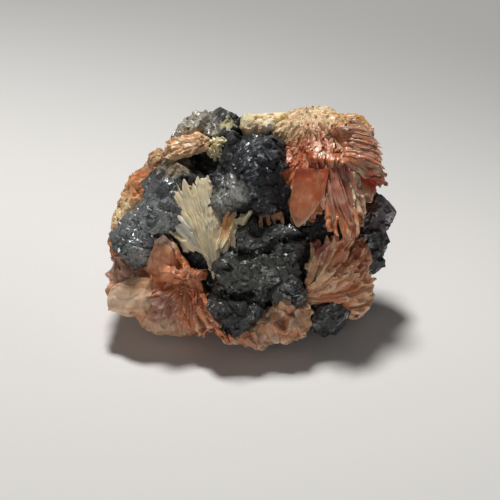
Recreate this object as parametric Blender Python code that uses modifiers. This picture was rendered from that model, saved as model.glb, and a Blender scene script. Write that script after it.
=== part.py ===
"""A hand-sized rock of galena that carries fans of barite blades and a pale fan of cerussite.

Everything is in metres, +Z up, with the origin in the middle of the flat the rock stands on.
The display face of the rock leans back. What sits on that face is placed in face millimetres:
a runs to the right, b runs up the face and c runs straight out of it. What grows on the far
side is placed in the same way on a back face.
"""
import math
import random

import bmesh
import bpy
from mathutils import Matrix, Vector

MM = 0.001

# The display face: how far it leans back, and where its lower edge lies above the ground.
FACE_LEAN = math.radians(32)
FACE_FOOT_Y = -25 * MM
FACE_FOOT_Z = 1.5 * MM

# The back face looks away from the display face and leans the other way.
BACK_LEAN = math.radians(20)
BACK_FOOT_Y = 19 * MM
BACK_FOOT_Z = 0

# The size of the broken flats on each kind of mass, as the area of one facet.
GALENA_FACET = 6.6 * MM * MM
CRUST_FACET = 6 * MM * MM

# Fineness of the fused masses, and the air between neighbouring pieces.
FUSE_VOXEL = 0.9 * MM
GAP = 0.4 * MM

# Where blades cross, the share of the little faces that stays, from the least that is tried up.
CROSSING_DETAILS = (0.6, 0.65, 0.7, 0.75, 0.8, 0.9)
FLAT_ANGLE = math.radians(0.4)

# How wide and how high the masses swell, break and ripple.
SWELL_WIDTH, SWELL_HEIGHT = 9 * MM, 2.2 * MM
BREAK_WIDTH, BREAK_HEIGHT = 5 * MM, 1.8 * MM
RIPPLE_WIDTH, RIPPLE_HEIGHT = 5 * MM, 1.2 * MM

# How unlike the blades of one sheaf are: their ends in millimetres, and the rest as shares.
END_UNEVEN = 0.3
DEPTH_UNEVEN = 0.6
LEAN_UNEVEN = 0.15
SIZE_UNEVEN = 0.15
CHISEL = 0.5

# A blade's width at its root and how it swells from there, and how much thinner its tip is.
ROOT_WIDTH = 0.55
BLADE_SWELL = 0.75
TIP_THINNING = 0.6

GROUND_REACH = 150 * MM


def face_frame(right, foot_y, foot_z, lean):
    """The matrix from face millimetres (a, b, c) to metres; right is +1 in front and -1 behind."""
    across = Vector((right, 0, 0))
    up = Vector((0, right * math.sin(lean), math.cos(lean)))
    out = across.cross(up)
    turn = Matrix((across, up, out)).transposed().to_4x4()
    return Matrix.Translation((0, foot_y, foot_z)) @ turn @ Matrix.Scale(MM, 4)


FRONT = face_frame(1, FACE_FOOT_Y, FACE_FOOT_Z, FACE_LEAN)
BACK = face_frame(-1, BACK_FOOT_Y, BACK_FOOT_Z, BACK_LEAN)


def clear_scene():
    for thing in list(bpy.data.objects):
        bpy.data.objects.remove(thing)


def collection(name):
    made = bpy.data.collections.new(name)
    bpy.context.scene.collection.children.link(made)
    return made


clear_scene()
specimen = collection("cerussite_galena_barite")
helpers = collection("cutters")


def object_with(mesh, name, home):
    made = bpy.data.objects.new(name, mesh)
    home.objects.link(made)
    if home is helpers:
        made.hide_render = True
        made.display_type = "WIRE"
    return made


def object_from(bm, name, home):
    mesh = bpy.data.meshes.new(name)
    bm.to_mesh(mesh)
    bm.free()
    return object_with(mesh, name, home)


def settle(thing):
    """Turns the modified shape into the object's own mesh."""
    bpy.context.view_layer.update()
    shape = thing.evaluated_get(bpy.context.evaluated_depsgraph_get())
    thing.data = bpy.data.meshes.new_from_object(shape)
    thing.modifiers.clear()


def lump(bm, frame, centre, radii, turn=0, tip=0, block=False):
    """A rounded boss, or a squared block where block is set. turn spins it in the face's own
    plane and tip leans it towards the top of the face, both in degrees."""
    spin = Matrix.Rotation(math.radians(turn), 4, "Z") @ Matrix.Rotation(math.radians(tip), 4, "X")
    place = frame @ Matrix.Translation(centre) @ spin @ Matrix.Diagonal((*radii, 1))
    if block:
        bmesh.ops.create_cube(bm, size=2, matrix=place)
    else:
        bmesh.ops.create_icosphere(bm, subdivisions=3, radius=1, matrix=place)


def blade(frame, root, tip, flat, width, thick, bow=(0, 0, 0), slant=0.0):
    """One tapered crystal plate from root to tip. flat is the way its broad side looks, bow
    pushes its middle sideways and slant makes the end a chisel. All in face millimetres."""
    root, tip, bow = Vector(root), Vector(tip), Vector(bow)
    along = (tip - root).normalized()
    across = Vector(flat).cross(along).normalized()
    broad = along.cross(across)
    bm = bmesh.new()
    bmesh.ops.create_cube(bm, size=1)
    lengthwise = [e for e in bm.edges if abs(e.verts[0].co.x - e.verts[1].co.x) > 0.5]
    bmesh.ops.subdivide_edges(bm, edges=lengthwise, cuts=1)
    for v in bm.verts:
        t = v.co.x + 0.5
        wide = ROOT_WIDTH + BLADE_SWELL * (t - t ** 3)
        thin = 1 - TIP_THINNING * t
        spot = root.lerp(tip, t) + bow * (4 * t * (1 - t))
        spot = spot + across * (v.co.y * width * wide) + broad * (v.co.z * thick * thin)
        v.co = frame @ (spot + along * (v.co.y * slant * t * width))
    return object_from(bm, "blade", helpers)


def sheaf(frame, roots, tips, count, flat, width, thick, bow=(0, 0, 0), crest=0, seed=1):
    """Blades side by side. roots and tips each give the first and the last blade's end, crest
    lengthens the middle ones, and a little seeded unevenness keeps them natural."""
    dice = random.Random(seed)
    blades = []
    first_root, last_root = map(Vector, roots)
    first_tip, last_tip = map(Vector, tips)
    for i in range(count):
        t = i / max(count - 1, 1)
        root = first_root.lerp(last_root, t)
        tip = first_tip.lerp(last_tip, t)
        longer = crest * 4 * t * (1 - t) + dice.uniform(-3, 2) * END_UNEVEN
        side = Vector([dice.uniform(-u, u) for u in (END_UNEVEN, END_UNEVEN, DEPTH_UNEVEN)])
        lean = Vector([f + dice.uniform(-LEAN_UNEVEN, LEAN_UNEVEN) for f in flat])
        wider, thicker = (1 + dice.uniform(-SIZE_UNEVEN, SIZE_UNEVEN) for _ in range(2))
        end = tip + (tip - root).normalized() * longer + side
        blades.append(blade(frame, root + side, end, lean, width * wider, thick * thicker,
                            bow, slant=dice.uniform(-CHISEL, CHISEL)))
    return blades


def roughen(thing, name, kind, size, strength, metric="DISTANCE"):
    texture = bpy.data.textures.new(name, kind)
    texture.noise_scale = size
    if kind == "VORONOI":
        texture.distance_metric = metric
    push = thing.modifiers.new(name, "DISPLACE")
    push.texture = texture
    push.texture_coords = "GLOBAL"
    push.strength = strength


def fuse(thing, voxel):
    melt = thing.modifiers.new("fuse", "REMESH")
    melt.mode = "VOXEL"
    melt.voxel_size = voxel


def collapse(thing, ratio):
    fewer = thing.modifiers.new("collapse", "DECIMATE")
    fewer.ratio = ratio
    fewer.use_collapse_triangulate = True
    settle(thing)


def break_into_flats(thing, facet):
    """Leaves facets of about that area, which gives the mass its broken flats."""
    settle(thing)
    mesh = thing.data
    mesh.calc_loop_triangles()
    area = sum(t.area for t in mesh.loop_triangles)
    collapse(thing, area / facet / len(mesh.loop_triangles))


def closed(mesh):
    """Whether each edge has just two faces."""
    bm = bmesh.new()
    bm.from_mesh(mesh)
    whole = all(e.is_manifold for e in bm.edges)
    bm.free()
    return whole


def thin_out_crossings(thing):
    """Takes away the slivers where blades cross, as far as the body stays one closed surface."""
    full = thing.data
    for detail in CROSSING_DETAILS:
        thing.data = full.copy()
        collapse(thing, detail)
        if closed(thing.data):
            return
    thing.data = full


def boolean(thing, other, operation):
    """Joins or cuts. The closed bodies cross in long chains, which only this solver follows."""
    cut = thing.modifiers.new(f"{operation.lower()}_{other.name}", "BOOLEAN")
    cut.operation = operation
    cut.object = other
    cut.solver = "MANIFOLD"
    settle(thing)


def join_flats(thing):
    """Makes one face again of what a cut has split in its own plane."""
    flats = thing.modifiers.new("join_flats", "DECIMATE")
    flats.decimate_type = "DISSOLVE"
    flats.angle_limit = FLAT_ANGLE
    settle(thing)


def keep_largest(thing):
    """Drops the crumbs that a cut leaves beside the main body."""
    bm = bmesh.new()
    bm.from_mesh(thing.data)
    islands, seen = [], set()
    for start in bm.verts:
        if start in seen:
            continue
        seen.add(start)
        island, edge = [], [start]
        while edge:
            v = edge.pop()
            island.append(v)
            for e in v.link_edges:
                other = e.other_vert(v)
                if other not in seen:
                    seen.add(other)
                    edge.append(other)
        islands.append(island)
    islands.sort(key=len)
    for island in islands[:-1]:
        bmesh.ops.delete(bm, geom=island, context="VERTS")
    bm.to_mesh(thing.data)
    bm.free()


def room_around(thing):
    """A slightly larger copy, which cuts room beside that piece."""
    shell = object_with(thing.data.copy(), f"room_around_{thing.name}", helpers)
    grow = shell.modifiers.new("grow", "DISPLACE")
    grow.mid_level = 0
    grow.strength = GAP
    settle(shell)
    boolean(shell, thing, "UNION")
    return shell


# The ground, which gives the rock the flat it stands on.
bm = bmesh.new()
bmesh.ops.create_cube(bm, size=GROUND_REACH, matrix=Matrix.Translation((0, 0, -GROUND_REACH / 2)))
ground = object_from(bm, "ground", helpers)

# Galena: the dark matrix. It breaks along cube faces, so bosses and squared blocks make it up.
GALENA_CORE = ((0, 30, -9), (31, 25, 15))
GALENA_FOOT = (
    ((0, 12, -16), (22, 9, 9)),
    ((2, 15, -26), (19, 9, 9)),
)
GALENA_DOME = (
    ((1, 45.5, 5), (8, 8.5, 8.5)),
    ((6, 51.5, 4), (4.5, 4.5, 5)),
    ((-2.5, 51.5, 3), (4, 4, 4.5)),
    ((4.5, 39.5, 4), (6.5, 5, 6)),
    ((-6.3, 38.5, 5), (3, 4.5, 4.5)),
    ((-8.5, 35.5, 3.5), (4, 4.5, 4)),
)
GALENA_UPPER_KNOBS = (
    ((-15, 57, -6), (5.5, 4.2, 6)),
    ((-20, 54.5, -5), (3.5, 3.5, 4)),
    ((-6, 57, -4), (5.5, 4.8, 6)),
    ((-18.5, 47.5, 0), (5.5, 3.5, 4.5)),
    ((-14.5, 45, 1), (4, 3, 4)),
    ((-7.5, 43.5, 3), (4, 3.5, 4)),
)
GALENA_LEFT_BAND = (
    ((-22, 42, 2), (4.5, 4.5, 5)),
    ((-22.5, 37, 4), (5.5, 4.5, 5)),
    ((-21, 34, 5), (4.5, 4, 5)),
    ((-26, 32.5, 2), (6, 4.5, 5.5)),
    ((-30, 28.5, 0), (5.5, 5, 5.5)),
    ((-28, 25, 1), (5, 3.5, 5)),
    ((-14, 23.5, 2), (4.5, 4, 4)),
)
GALENA_RIGHT_EDGE = (
    ((34, 36, -8), (4, 4.5, 6)),
    ((32.5, 27, -9), (4.5, 7, 6)),
    ((20, 8.5, 0), (6.5, 4.3, 5)),
    ((15, 24, -1), (4, 9, 5)),
)
GALENA_FAR_SIDE = (
    ((-15, 40, -20), (9, 8, 6)),
    ((12, 38, -22), (10, 9, 6)),
    ((-5, 24, -22), (12, 8, 6)),
    ((22, 24, -18), (8, 8, 7)),
)
# Each ledge: centre, half sizes, turn and tip.
GALENA_LEDGES = (
    ((5.5, 28.5, 6.5), (8.5, 3.2, 5), -4, 12),
    ((1.5, 21.8, 7), (10, 3.4, 5.5), 6, 8),
    ((5.5, 16.4, 5.5), (8.5, 3, 5), -5, 14),
    ((-3.3, 10.8, 6), (5.2, 5.2, 5), 40, 10),
)

bm = bmesh.new()
for centre, radii in (GALENA_CORE, *GALENA_FOOT, *GALENA_DOME, *GALENA_UPPER_KNOBS,
                      *GALENA_LEFT_BAND, *GALENA_RIGHT_EDGE, *GALENA_FAR_SIDE):
    lump(bm, FRONT, centre, radii)
for centre, half, turn, tip in GALENA_LEDGES:
    lump(bm, FRONT, centre, half, turn, tip, block=True)
galena = object_from(bm, "galena_mass", specimen)
fuse(galena, FUSE_VOXEL)
roughen(galena, "swells", "CLOUDS", SWELL_WIDTH, SWELL_HEIGHT)
roughen(galena, "cleavage", "VORONOI", BREAK_WIDTH, BREAK_HEIGHT, "CHEBYCHEV")
break_into_flats(galena, GALENA_FACET)
boolean(galena, ground, "DIFFERENCE")
keep_largest(galena)
galena_room = room_around(galena)


def crystal_piece(name, frame, masses, sheaves=(), beside=()):
    """A cluster grown together: its rounded mass and its blades in one body, cut clear of the
    galena, of the pieces beside it and of the ground."""
    bm = bmesh.new()
    for mass in masses:
        lump(bm, frame, *mass)
    made = object_from(bm, name, specimen)
    fuse(made, FUSE_VOXEL)
    roughen(made, f"{name}_ripple", "CLOUDS", RIPPLE_WIDTH, RIPPLE_HEIGHT)
    break_into_flats(made, CRUST_FACET)
    for one in sheaves:
        for plate in sheaf(frame, **one):
            boolean(made, plate, "UNION")
            bpy.data.objects.remove(plate)
    if sheaves:
        thin_out_crossings(made)
    for shell in (galena_room, *beside, ground):
        boolean(made, shell, "DIFFERENCE")
    keep_largest(made)
    join_flats(made)
    return made


# The great barite fan: salmon blades that hang and sweep right from under the top of the rock.
GREAT_FAN_MASSES = (
    ((20, 49, -2), (13, 9, 8.5)),
    ((14.5, 55.5, -3), (9, 5.5, 7)),
    ((17, 60, -10), (9, 3.6, 5)),
    ((26, 56, -8), (7.5, 5.5, 6.5)),
    ((30, 47, -6), (5, 10, 6)),
    ((16, 43, 2), (5.5, 7, 5)),
    ((24, 40, 0), (5, 7, 4)),
)
GREAT_FAN_SHEAVES = (
    dict(roots=((11.5, 51.5, 3), (13, 47, 5)), tips=((6.8, 43.9, 7.5), (9.4, 40, 6.5)), count=3,
         flat=(-0.5, -0.2, 0.85), width=5, thick=1.6, seed=11),
    dict(roots=((13, 48, 5), (18.5, 47.5, 6)), tips=((12.8, 31.5, 9), (17.4, 35, 10.5)), count=3,
         flat=(-0.2, 0.1, 1), width=6.5, thick=1.9, seed=12),
    dict(roots=((20.5, 48, 5.5), (27, 45.5, 4)), tips=((20.8, 30, 12), (29.6, 32.2, 7.5)), count=6,
         flat=(1, 0.3, 0.25), width=6, thick=2.5, crest=3.2, seed=13),
    dict(roots=((20, 57, 2), (25, 47.5, 4)), tips=((31.6, 55.4, 1), (34.6, 43.6, 2)), count=5,
         flat=(0.45, 0.85, 0.25), width=9, thick=2.4, bow=(0.6, 1.4, 1), seed=14),
    dict(roots=((25.5, 47, 3), (28, 46, 2)), tips=((28.8, 35.8, 6), (32, 38.5, 3.5)), count=2,
         flat=(0.5, 0.2, 0.8), width=5, thick=1.6, seed=15),
    dict(roots=((29, 46.5, 1), (30, 45, 1)), tips=((35.6, 43, 0.8), (32.6, 39.8, 2.4)), count=2,
         flat=(0.4, -0.3, 0.85), width=4.5, thick=1.5, seed=16),
    dict(roots=((16.5, 56, 1), (22, 54, 2)), tips=((17.5, 48.4, 9), (24.5, 47.8, 8.6)), count=3,
         flat=(0.1, 0.55, 0.8), width=5, thick=1.9, seed=17),
)
great_fan = crystal_piece("barite_fan_upper_right", FRONT, GREAT_FAN_MASSES, GREAT_FAN_SHEAVES)
great_room = room_around(great_fan)

# The lower right barite fan: wavy blades that spread up and right from one root.
LOWER_FAN_MASSES = (
    ((21.5, 18, -1), (10.5, 9.5, 6)),
    ((27.5, 14.5, -3), (5.5, 7, 5)),
    ((28, 24, -4), (4.5, 6, 5)),
    ((14.5, 13.5, 2), (3, 2.6, 3)),
)
LOWER_FAN_SHEAVES = (
    dict(roots=((12.8, 13.4, 4), (14.8, 14.5, 4)), tips=((17.2, 28.5, 5), (22.8, 29.6, 5)), count=5,
         flat=(0.85, -0.45, 0.2), width=6, thick=1.7, bow=(1.8, -1.4, 0.6), seed=21),
    dict(roots=((14, 13.5, 4), (16.5, 14, 4)), tips=((24.4, 29, 4.5), (31, 27, 0.5)), count=5,
         flat=(0.6, -0.75, 0.2), width=6, thick=1.7, bow=(1.4, -1.8, 0.8), seed=22),
    dict(roots=((14, 12.8, 3.5), (17, 12.6, 3)), tips=((31.6, 22.6, -1), (33, 14.8, -1)), count=4,
         flat=(0.2, -0.95, 0.2), width=6.5, thick=1.8, bow=(0.4, -1.2, 0.8), seed=23),
    dict(roots=((17, 12.6, 2), (20, 12.4, 1)), tips=((32.4, 12.6, -1.5), (25, 6.6, 0)), count=3,
         flat=(0.3, 0.3, 0.9), width=6, thick=2, seed=24),
)
lower_fan = crystal_piece("barite_fan_lower_right", FRONT, LOWER_FAN_MASSES, LOWER_FAN_SHEAVES,
                          (great_room,))
lower_room = room_around(lower_fan)

# The lower left barite cluster: a thick clear plate, upright orange plates and long strands.
LEFT_CLUSTER_MASSES = (
    ((-22.5, 14.5, -2), (12.5, 8, 7)),
    ((-31, 18, -4), (5.5, 7.5, 5)),
    ((-13.5, 10, -1), (7.5, 6.5, 6.5)),
    ((-19, 7.5, -4), (10, 4.5, 6)),
    ((-16.5, 19.5, 3), (4.5, 2.6, 4)),
)
LEFT_CLUSTER_SHEAVES = (
    dict(roots=((-25, 14, 3), (-24.5, 17, 3)), tips=((-36.8, 11.6, -1), (-36.6, 14.4, -1)), count=2,
         flat=(-0.15, 0.1, 1), width=7, thick=4, seed=31),
    dict(roots=((-25.5, 19, 1.5), (-25, 20.5, 1)), tips=((-36.6, 17.6, -3), (-35.4, 22.8, -3)),
         count=3, flat=(-0.25, 0.45, 0.85), width=5.5, thick=2.2, seed=32),
    dict(roots=((-22, 17, 2.5), (-20, 17, 3.5)), tips=((-23.2, 28.4, 6.5), (-20.4, 26, 8.5)), count=2,
         flat=(0.05, 0.2, 1), width=5, thick=1.9, seed=33),
    dict(roots=((-16, 18.5, 5), (-16, 18.5, 5)), tips=((-19.8, 28, 7), (-19.8, 28, 7)), count=1,
         flat=(0.75, 0.45, 0.4), width=2.8, thick=1.4, seed=34),
    dict(roots=((-10.8, 19.2, 6), (-11.6, 18.2, 6)), tips=((-22.4, 19.4, 8.5), (-21.8, 17.6, 7)),
         count=2, flat=(0, 0.7, 0.7), width=2.8, thick=2, seed=35),
    dict(roots=((-15.5, 17.4, 4), (-13, 17, 5)), tips=((-12.4, 2.8, 4), (-5.4, 2.8, 6)), count=5,
         flat=(0.8, 0.35, 0.3), width=5.5, thick=1.7, bow=(0.6, 0.2, 1.2), seed=36),
    dict(roots=((-17, 16.6, 4), (-15.5, 16, 4)), tips=((-29.4, 9.2, 3.4), (-17, 4.4, 2.8)), count=5,
         flat=(0.5, -0.7, 0.4), width=5, thick=1.8, bow=(0, 0, 1), seed=37),
)
left_cluster = crystal_piece("barite_cluster_lower_left", FRONT, LEFT_CLUSTER_MASSES,
                             LEFT_CLUSTER_SHEAVES)
left_room = room_around(left_cluster)

# The barite crust along the lower edge: swollen clumps of small plates.
LOWER_CRUST_MASSES = (
    ((-2.6, 3.4, 4), (4.6, 2.6, 4)),
    ((2.6, 3.4, 4), (5.4, 3.6, 5)),
    ((7.6, 6, 4.5), (6, 5, 5)),
    ((12, 6.6, 3.5), (4.4, 4.2, 5)),
    ((9.4, 10.6, 6), (3.8, 4, 3.4)),
    ((13.2, 9.6, 5), (3.2, 3.2, 3)),
)
LOWER_CRUST_SHEAVES = (
    dict(roots=((6.6, 9, 6), (8.4, 8.4, 6)), tips=((9.9, 16.8, 9.5), (8.4, 13.6, 9.5)), count=3,
         flat=(-0.5, 0.4, 0.8), width=3, thick=1.3, seed=41),
    dict(roots=((-4.6, 4, 4), (12, 7, 5)), tips=((-6, 1.6, 6.5), (13.4, 2.6, 6)), count=6,
         flat=(1, 0.1, 0.2), width=3.4, thick=1.8, seed=42),
)
lower_crust = crystal_piece("barite_crust_lower_edge", FRONT, LOWER_CRUST_MASSES,
                            LOWER_CRUST_SHEAVES, (lower_room, left_room))

# The pale cerussite fan: silky plates that spread from one low tip.
PALE_FAN_MASSES = (
    ((-9.5, 30, 4.6), (4.6, 9.5, 3), 12),
    ((-13, 36.5, 2.5), (5.4, 6.5, 3)),
    ((-7, 22, 6), (2, 4, 2.6)),
    ((-4, 28, 5.5), (4, 6, 2.6), -35),
    ((-14.5, 29, 4.2), (4, 3, 2.6), 30),
)
PALE_FAN_SHEAVES = (
    dict(roots=((-7.6, 19, 6.5), (-6.2, 19, 7)), tips=((-18, 41.4, 5), (-9.6, 44.4, 5.5)), count=6,
         flat=(0.75, 0.25, 0.6), width=5, thick=1.9, bow=(0.5, 0.2, 0.8), seed=51),
    dict(roots=((-8.4, 24, 6), (-8, 26, 6)), tips=((-19.6, 30.2, 7), (-17.6, 34, 6.5)), count=3,
         flat=(0.25, 0.6, 0.8), width=4, thick=1.7, seed=52),
    dict(roots=((-6.4, 22, 7), (-5.6, 23, 7)), tips=((-2.6, 34, 8.6), (0.6, 36, 9)), count=3,
         flat=(0.8, -0.3, 0.5), width=4, thick=1.6, seed=53),
)
pale_fan = crystal_piece("cerussite_fan", FRONT, PALE_FAN_MASSES, PALE_FAN_SHEAVES, (left_room,))

# The upper left barite blades: a short pale stack that juts over a dark hollow.
UPPER_BLADES_MASSES = (
    ((-14, 53.4, 0.5), (4.6, 2.6, 4)),
    ((-18.5, 51.5, 0), (4, 3, 4)),
)
UPPER_BLADES_SHEAVES = (
    dict(roots=((-12, 54.6, 1), (-12, 53, 1)), tips=((-21.4, 52.8, 3.4), (-21, 49.4, 4.6)), count=4,
         flat=(-0.2, 0.75, 0.6), width=4.6, thick=1.5, seed=61),
)
upper_blades = crystal_piece("barite_blades_upper_left", FRONT, UPPER_BLADES_MASSES,
                             UPPER_BLADES_SHEAVES)
upper_room = room_around(upper_blades)

# The weathered crust over the top: cream and ochre, finely granular.
TOP_CRUST_MASSES = (
    ((0.6, 57.6, -4), (4.4, 4, 6)),
    ((7, 57.8, -6), (7, 3.8, 6.5)),
    ((6, 55, -10), (10, 5, 7)),
    ((-10, 58, -9), (4, 3, 4)),
)
top_crust = crystal_piece("cerussite_crust_top", FRONT, TOP_CRUST_MASSES,
                          beside=(great_room, upper_room))
top_room = room_around(top_crust)

# The yellow cerussite crystals below the left knobs.
YELLOW_CRYSTAL_MASSES = (
    ((-7.6, 53.4, 1), (2.4, 2.4, 3), 20, 10),
    ((-5.4, 51.8, 1.6), (2.6, 2.2, 2.6), -15, 20),
    ((-8.6, 51, 1), (2, 2, 2.4)),
)
yellow_crystals = crystal_piece("cerussite_crystals_upper_left", FRONT, YELLOW_CRYSTAL_MASSES,
                                beside=(upper_room, top_room))

# The weathered barite rind down the left side.
LEFT_RIND_MASSES = (
    ((-23.5, 47.6, -7), (3.6, 5, 5)),
    ((-27, 43, -8), (4.6, 6, 6), -35),
    ((-30, 38.5, -8), (4.2, 6, 6), -28),
    ((-32.4, 33.5, -8), (3.4, 6, 6), -18),
    ((-34.2, 28.5, -7), (2.4, 5.4, 5.4), -10),
)
left_rind = crystal_piece("barite_rind_left", FRONT, LEFT_RIND_MASSES,
                          beside=(left_room, upper_room))

# The little barite laths under the dark dome, side by side on one root.
LATH_MASSES = (((5.8, 34.6, 6.4), (4, 1.4, 1.6)),)
LATH_SHEAVES = (
    dict(roots=((3.2, 35, 6.6), (8.6, 34.8, 6.4)), tips=((3.4, 31, 9.6), (9, 31.8, 9)), count=4,
         flat=(0.2, 0.3, 0.9), width=1.4, thick=1.4, seed=71),
)
laths = crystal_piece("barite_laths_centre", FRONT, LATH_MASSES, LATH_SHEAVES)

# Barite on the far side: one broad fan, and a plate cluster low down.
BACK_FAN_MASSES = (
    ((-8, 36, 7), (12, 9, 5.5)),
    ((-16, 28, 6), (9, 9, 4.5)),
    ((2, 42, 7), (9, 6, 4.5)),
)
BACK_FAN_SHEAVES = (
    dict(roots=((2, 38, 9.5), (-1, 35, 9.5)), tips=((-12, 50, 10), (-28, 36, 7.5)), count=5,
         flat=(0.5, 0.85, 0.1), width=6, thick=2.3, bow=(0.6, 0.8, 1.2), seed=81),
    dict(roots=((-2, 34, 9.5), (1, 33, 9.5)), tips=((-27, 25, 7.5), (-4, 17, 10)), count=5,
         flat=(0.8, -0.5, 0.1), width=6, thick=2.3, bow=(-0.6, 0.2, 1.4), seed=82),
)
back_fan = crystal_piece("barite_fan_back", BACK, BACK_FAN_MASSES, BACK_FAN_SHEAVES,
                         (great_room, top_room, lower_room))
back_room = room_around(back_fan)
BACK_CLUSTER_MASSES = (
    ((19, 17, 2), (9, 8, 6)),
    ((25, 24, 0), (6, 7, 5.5)),
)
BACK_CLUSTER_SHEAVES = (
    dict(roots=((17, 19, 5), (21, 21, 5)), tips=((10, 9, 6), (28, 11, 4)), count=5,
         flat=(1, 0.2, 0.2), width=5.5, thick=2.2, bow=(0.2, 0, 1), seed=91),
    dict(roots=((17, 20, 5), (21, 22, 5)), tips=((13, 31, 8), (30, 29, 3)), count=4,
         flat=(0.9, -0.3, 0.2), width=5.5, thick=2.2, bow=(0, 0, 1), seed=92),
)
back_cluster = crystal_piece("barite_cluster_back", BACK, BACK_CLUSTER_MASSES, BACK_CLUSTER_SHEAVES,
                             (left_room, back_room, top_room))


def finish(name, colour, roughness, metallic, pieces):
    """One mineral's plain surface, on every piece made of it."""
    made = bpy.data.materials.new(name)
    made.use_nodes = True
    surface = made.node_tree.nodes["Principled BSDF"]
    surface.inputs["Base Color"].default_value = (*colour, 1)
    surface.inputs["Roughness"].default_value = roughness
    surface.inputs["Metallic"].default_value = metallic
    for piece in pieces:
        piece.data.materials.clear()
        piece.data.materials.append(made)


finish("galena", (0.16, 0.165, 0.175), 0.38, 0.9, (galena,))
finish("salmon_barite", (0.62, 0.3, 0.2), 0.4, 0,
       (great_fan, lower_fan, left_cluster, lower_crust, upper_blades, laths, back_fan, back_cluster))
finish("ochre_barite", (0.55, 0.27, 0.12), 0.7, 0, (left_rind,))
finish("pale_cerussite", (0.62, 0.52, 0.38), 0.35, 0, (pale_fan,))
finish("cream_cerussite", (0.7, 0.55, 0.32), 0.75, 0, (top_crust,))
finish("yellow_cerussite", (0.5, 0.43, 0.2), 0.35, 0, (yellow_crystals,))
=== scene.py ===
"""The finish of a hand-sized rock: dark galena that carries fans of barite and a pale fan of cerussite.

Everything that grows on the display face is placed in face millimetres: a runs to the right, b up
the face and c straight out of it. The far side has a face of its own.
"""
import math
import random

import bpy
import numpy as np
from mathutils import Matrix, Vector
from mathutils.bvhtree import BVHTree


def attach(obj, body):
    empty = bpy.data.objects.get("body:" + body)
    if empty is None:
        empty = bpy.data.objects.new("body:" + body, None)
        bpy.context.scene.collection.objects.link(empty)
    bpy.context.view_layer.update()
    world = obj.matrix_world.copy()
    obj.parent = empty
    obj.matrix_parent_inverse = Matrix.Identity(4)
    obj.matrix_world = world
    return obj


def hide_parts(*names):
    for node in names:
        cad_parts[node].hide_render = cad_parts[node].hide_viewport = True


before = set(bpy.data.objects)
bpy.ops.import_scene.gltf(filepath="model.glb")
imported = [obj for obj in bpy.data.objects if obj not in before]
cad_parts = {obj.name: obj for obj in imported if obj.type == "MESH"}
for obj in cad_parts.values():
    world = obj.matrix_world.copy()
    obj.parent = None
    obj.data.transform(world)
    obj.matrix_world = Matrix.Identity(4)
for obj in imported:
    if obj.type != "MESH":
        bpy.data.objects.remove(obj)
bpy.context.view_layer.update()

# Galena. One lump of lead sulphide is the matrix that carries everything. It broke along its cube
# faces, so its skin is flats and steps, dull with tarnish on the dome and bright where it is fresh.
MM = 0.001
FACE_LEAN = math.radians(32)
FACE_FOOT = (0, -25 * MM, 1.5 * MM)
GALENA_NET, CREASE_FILL, SOFT_ROUNDS, SKIN_SWELL = 0.44, 1.0, 9, 0.3
GALENA_TURN = (0.5, 0.35, 0.8)
GALENA_CLEAVES = ((5.6, 0.7, 1), (2.4, 0.32, 20))
CUBE_LEAN, CELL_BLOCK = 0.45, 0.35
FLAT_CREASE, WANDER_SWELL = math.radians(16), 3.2
GALENA_CRACKS = (
    ((-4.2, 25.4), (1.5, 24.6), (5.7, 25.6)),
    ((-7.8, 14.6), (-2, 13.6), (2, 14.4)),
    ((7.2, 28.2), (15, 29)),
)
CRACK_WIDTH, CRACK_DEPTH, CRACK_PAINTED_SHADE = 0.8, 1.8, 0.7
GALENA_HOLLOWS = (((-11.5, 49), 4.5, 4), ((15.5, 29), 2.5, 1.5), ((-14, 24), 4, 1.5), ((7, 58), 3.2, 2.5))
KNOB_CORNER, KNOB_MIDDLE, KNOB_REACH, KNOB_PULL = (-24, 60), (-15, 55), 7, 0.6
CRUST_COVER, CRUST_FADE, CRUST_RAGGED, CRUST_SWELL = 2.3, 1.6, 1.1, 1.3
ZONE_STRAY, ZONE_SWELL, ZONE_FADE = 2.5, 4, 1.6
TARNISH_SIZE, GRIT_SIZE, GRAIN_SIZE, GRAIN_LEAN = 5.5, 0.5, 0.8, 0.5
FRESH_METAL, PIT_PAINTED_SHADE = (0.5, 0.51, 0.52), (0.02, 0.02, 0.02)


def face_frame(right, foot, lean):
    """The matrix from face millimetres to metres; right is +1 in front and -1 behind."""
    across = Vector((right, 0, 0))
    up = Vector((0, right * math.sin(lean), math.cos(lean)))
    turn = Matrix((across, up, across.cross(up))).transposed().to_4x4()
    return Matrix.Translation(foot) @ turn @ Matrix.Scale(MM, 4)


def srgb(red, green, blue):
    """A colour as the eye names it, 0 to 255, in the linear values that light works with."""
    shares = np.array((red, green, blue)) / 255
    return np.where(shares < 0.04045, shares / 12.92, ((shares + 0.055) / 1.055) ** 2.4)


def moved(place, points):
    """Points, an array of rows, taken through a matrix."""
    matrix = np.array(place)
    return points @ matrix[:3, :3].T + matrix[:3, 3]


def unit(vectors):
    return vectors / np.maximum(np.linalg.norm(vectors, axis=-1, keepdims=True), 1e-9)


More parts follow.
